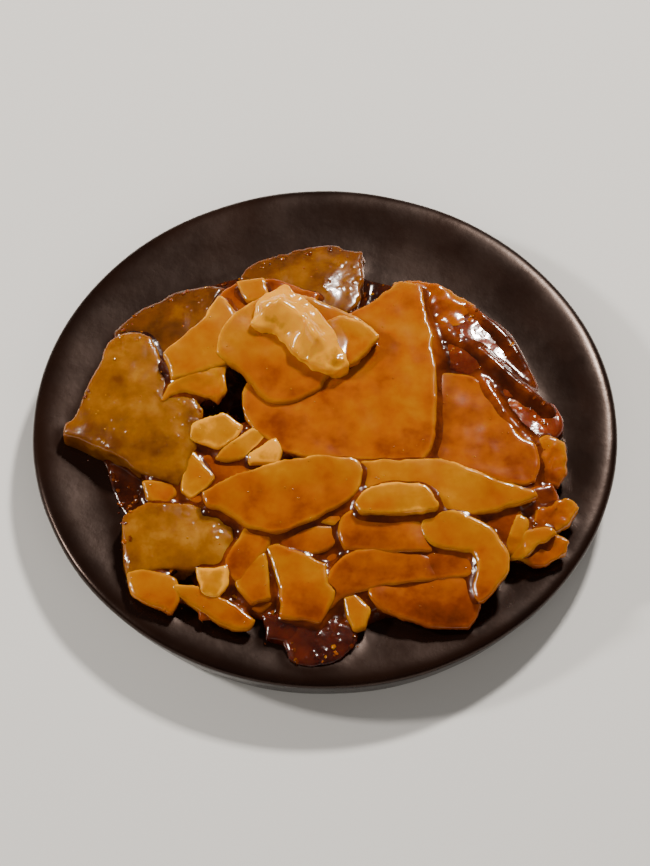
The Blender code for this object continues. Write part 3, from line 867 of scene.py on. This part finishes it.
def makeDisc():
    dropSelection()
    bpy.ops.mesh.primitive_circle_add(vertices=disc["segments"], radius=disc["foot"] * mm, fill_type="TRIFAN")
    piece = bpy.context.object
    piece.name = "chocolateDisc"

    def raiseWall():
        bpy.ops.mesh.select_all(action="DESELECT")
        bpy.ops.mesh.select_mode(type="EDGE")
        bpy.ops.mesh.select_non_manifold()
        radius, height = disc["foot"] * mm, 0.0
        for nextRadius, nextHeight in disc["steps"]:
            nextRadius, nextHeight = nextRadius * mm, nextHeight * mm
            bpy.ops.mesh.extrude_region_move(TRANSFORM_OT_translate={"value": (0, 0, nextHeight - height)})
            ratio = nextRadius / radius
            bpy.ops.transform.resize(value=(ratio, ratio, 1), center_override=(0, 0, nextHeight))
            radius, height = nextRadius, nextHeight
        bpy.ops.mesh.edge_face_add()
        bpy.ops.mesh.poke()
        bpy.ops.mesh.select_all(action="SELECT")
        bpy.ops.mesh.normals_make_consistent(inside=False)

    inEditMode(piece, raiseWall)
    applyModifier(piece, "SUBSURF", levels=disc["levels"], render_levels=disc["levels"])
    displace(piece, cloudTexture("pourNoise", disc["pourSize"] * mm), disc["uneven"] * mm)
    # the chocolate climbs a little where it meets the topping
    topping = np.vstack([coordsOf(o) for o in [glaze, *flakes.values(), *fruit.values()]])
    co = coordsOf(piece)
    upper = co[:, 2] > disc["climbFrom"] * mm
    co[upper, 2] += disc["meniscus"] * mm * fading(distances(co[upper], topping), disc["climbReach"])
    co[:, 2] = np.clip(co[:, 2], 0.0, None)
    setCoords(piece, co)
    return finishPiece(piece, chocolate, "chocolate", "chocolate_base")


discPiece = makeDisc()
print("disc poured,", len(discPiece.data.polygons), "faces")


# crumbs of nut and sugar round the foot of the topping, in mm: three are modelled and then copied
crumbLook = {"count": 130, "small": 0.12, "large": 0.36, "reach": 1.6, "spread": 0.35, "seed": 11,
             "footLow": 4.7, "footHigh": 5.6, "steepest": 0.5, "sparse": 0.7, "discSize": 0.5, "lift": 0.15,
             "tones": (0.15, 0.25, 0.35, 0.55)}
# small beads of syrup on the topping, in mm
beadLook = {"count": 140, "small": 0.06, "large": 0.16, "seed": 5, "front": -24, "back": 22, "steepest": 0.7,
            "sunk": 0.4, "paler": (0.12, 0.3), "flatness": 0.8}

dressed = [glaze, discPiece, *flakes.values(), *fruit.values()]
surfaces = []
for o in dressed:
    o.data.calc_loop_triangles()
    surfaces.append(BVHTree.FromPolygons([v.co for v in o.data.vertices],
                                         [tuple(t.vertices) for t in o.data.loop_triangles]))


def dropOn(x, y):
    # the highest dressed surface under a place: which piece, where, and which way it faces
    best = None
    for piece, surface in zip(dressed, surfaces):
        place, facing, _, _ = surface.ray_cast(Vector((x, y, 30 * mm)), Vector((0, 0, -1)))
        if place is not None and (best is None or place.z > best[1].z):
            best = (piece, place, facing)
    return best


def makeCrumbModel(number, stretch):
    dropSelection()
    bpy.ops.mesh.primitive_ico_sphere_add(subdivisions=1, radius=1.0)
    crumb = bpy.context.object
    crumb.name = "crumbModel" + str(number)

    def chip():
        bpy.ops.mesh.select_all(action="SELECT")
        bpy.ops.mesh.bisect(plane_co=(0.2, 0.1, 0.35), plane_no=(0.3, 0.2, 1.0),
                            use_fill=True, clear_outer=True)
        bpy.ops.mesh.select_all(action="SELECT")
        bpy.ops.transform.resize(value=stretch)
        bpy.ops.transform.vertex_random(offset=0.3, seed=number)
        bpy.ops.mesh.bevel(offset=0.12, segments=1)

    inEditMode(crumb, chip)
    return crumb


def scatter(name, models, spots, material, slot, tones):
    copies, values = [], []
    for i, (place, facing, size, turn) in enumerate(spots):
        model = models[i % len(models)]
        one = bpy.data.objects.new(name, model.data.copy())
        lean = facing.to_track_quat("Z", "Y")
        one.matrix_world = (Matrix.Translation(place) @ lean.to_matrix().to_4x4()
                            @ Matrix.Rotation(turn, 4, "Z") @ Matrix.Scale(size, 4))
        bpy.context.scene.collection.objects.link(one)
        values += [tones[i]] * len(one.data.vertices)
        copies.append(one)
    pickOnly(*copies)
    bpy.ops.object.join()
    bpy.ops.object.transform_apply(location=True, rotation=True, scale=True)
    whole = bpy.context.object
    whole.name = name
    setAttribute(whole, "tone", values)
    setAttribute(whole, "rim", np.zeros(len(whole.data.vertices)))
    for model in models:
        bpy.data.objects.remove(model)
    return finishPiece(whole, material, slot)


def makeCrumbs():
    dice = random.Random(crumbLook["seed"])
    outline = coordsOf(glaze)
    height = outline[:, 2]
    outline = outline[(height > crumbLook["footLow"] * mm) & (height < crumbLook["footHigh"] * mm)]
    spots, tones = [], []
    while len(spots) < crumbLook["count"]:
        x, y, _ = outline[dice.randrange(len(outline))]
        x += dice.gauss(0, crumbLook["spread"]) * crumbLook["reach"] * mm
        y += dice.gauss(0, crumbLook["spread"]) * crumbLook["reach"] * mm
        found = dropOn(x, y)
        if not found or found[0] in flakes.values() or found[2].z < crumbLook["steepest"]:
            continue
        size = dice.uniform(crumbLook["small"], crumbLook["large"]) * mm
        if found[0] is discPiece:
            if dice.random() < crumbLook["sparse"]:
                continue
            size *= crumbLook["discSize"]
        place = found[1] + Vector((0, 0, crumbLook["lift"] * size))
        spots.append((place, found[2], size, dice.uniform(0, 6.28)))
        tones.append(dice.choice(crumbLook["tones"]))
    models = [makeCrumbModel(1, (1.0, 0.7, 0.5)), makeCrumbModel(2, (1.0, 1.0, 0.55)),
              makeCrumbModel(3, (1.3, 0.55, 0.5))]
    return scatter("nutCrumbs", models, spots, almond, "almond", tones)


def makeBeads():
    dice = random.Random(beadLook["seed"])
    meanTone = {o: np.mean([item.value for item in o.data.attributes["tone"].data])
                for o in dressed if o is not discPiece}
    spots, tones = [], []
    while len(spots) < beadLook["count"]:
        front, back = beadLook["front"], beadLook["back"]
        found = dropOn(dice.uniform(front, -front) * mm, dice.uniform(front, back) * mm)
        if not found or found[0] is discPiece or found[2].z < beadLook["steepest"]:
            continue
        size = dice.uniform(beadLook["small"], beadLook["large"]) * mm
        spots.append((found[1] - Vector((0, 0, beadLook["sunk"] * size)), found[2], size, 0.0))
        tones.append(meanTone[found[0]] + dice.uniform(*beadLook["paler"]))
    dropSelection()
    bpy.ops.mesh.primitive_ico_sphere_add(subdivisions=2, radius=1.0)
    bead = bpy.context.object
    inEditMode(bead, lambda: bpy.ops.transform.resize(value=(1, 1, beadLook["flatness"])))
    return scatter("glazeBeads", [bead], spots, almond, "almond", tones)


makeCrumbs()
makeBeads()
print("crumbs and beads laid")


# floor, lights and camera
stageLook = {"floor": tint(232, 231, 229), "floorSize": 3.0, "worldStrength": 0.07,
             "azimuth": 0.0, "elevation": 58.0, "distance": 1.15, "fill": 0.90,
             "sensor": 36.0, "aimDrop": 1.5}


def makeStage():
    dropSelection()
    bpy.ops.mesh.primitive_plane_add(size=stageLook["floorSize"], location=(0, 0, 0))
    floor = bpy.context.object
    floor.name = "paperFloor"
    material = bpy.data.materials.new("palePaper")
    material.use_nodes = True
    shader = material.node_tree.nodes["Principled BSDF"]
    shader.inputs["Base Color"].default_value = (*stageLook["floor"], 1.0)
    shader.inputs["Roughness"].default_value = 0.85
    floor.data.materials.append(material)
    floor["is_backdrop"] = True
    world = bpy.data.worlds.new("studioAir")
    world.use_nodes = True
    world.node_tree.nodes["Background"].inputs["Color"].default_value = (1.0, 0.99, 0.97, 1.0)
    world.node_tree.nodes["Background"].inputs["Strength"].default_value = stageLook["worldStrength"]
    bpy.context.scene.world = world


def aimedAt(obj, target):
    obj.rotation_euler = (Vector(target) - obj.location).to_track_quat("-Z", "Y").to_euler()


def addSoftbox(name, place, width, depth, power, colour=(1.0, 0.94, 0.86), target=(0, 0, 0.006)):
    light = bpy.data.lights.new(name, "AREA")
    light.shape = "RECTANGLE"
    light.size, light.size_y = width, depth
    light.energy = power
    light.color = colour
    box = bpy.data.objects.new(name, light)
    box.location = place
    bpy.context.scene.collection.objects.link(box)
    aimedAt(box, target)
    return box


def addCamera():
    low, high = (Vector(corner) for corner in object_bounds())
    azimuth, elevation = (math.radians(stageLook[key]) for key in ("azimuth", "elevation"))
    target = Vector((0, 0, (low.z + high.z) / 2 - stageLook["aimDrop"] * mm))
    level = math.cos(elevation)
    away = Vector((math.sin(azimuth) * level, -math.cos(azimuth) * level, math.sin(elevation)))
    data = bpy.data.cameras.new("camera")
    data.sensor_fit = "HORIZONTAL"
    data.sensor_width = stageLook["sensor"]
    data.lens = stageLook["sensor"] * stageLook["distance"] * stageLook["fill"] / (high.x - low.x)
    data.clip_start = 0.01
    camera = bpy.data.objects.new("camera", data)
    camera.location = target + away * stageLook["distance"]
    bpy.context.scene.collection.objects.link(camera)
    aimedAt(camera, target)
    bpy.context.scene.camera = camera


makeStage()
addSoftbox("keyLamp", (0.14, 0.30, 0.34), 0.05, 0.05, 2.9)
addSoftbox("leftLamp", (-0.42, 0.05, 0.30), 0.06, 0.06, 1.8)
frontFill = addSoftbox("frontSoftbox", (0.05, -0.50, 0.40), 0.6, 0.6, 1.5)
frontFill.visible_glossy = False  # it only lifts the shadows, and puts no grey sheen on the caramel
addCamera()
print("stage set")
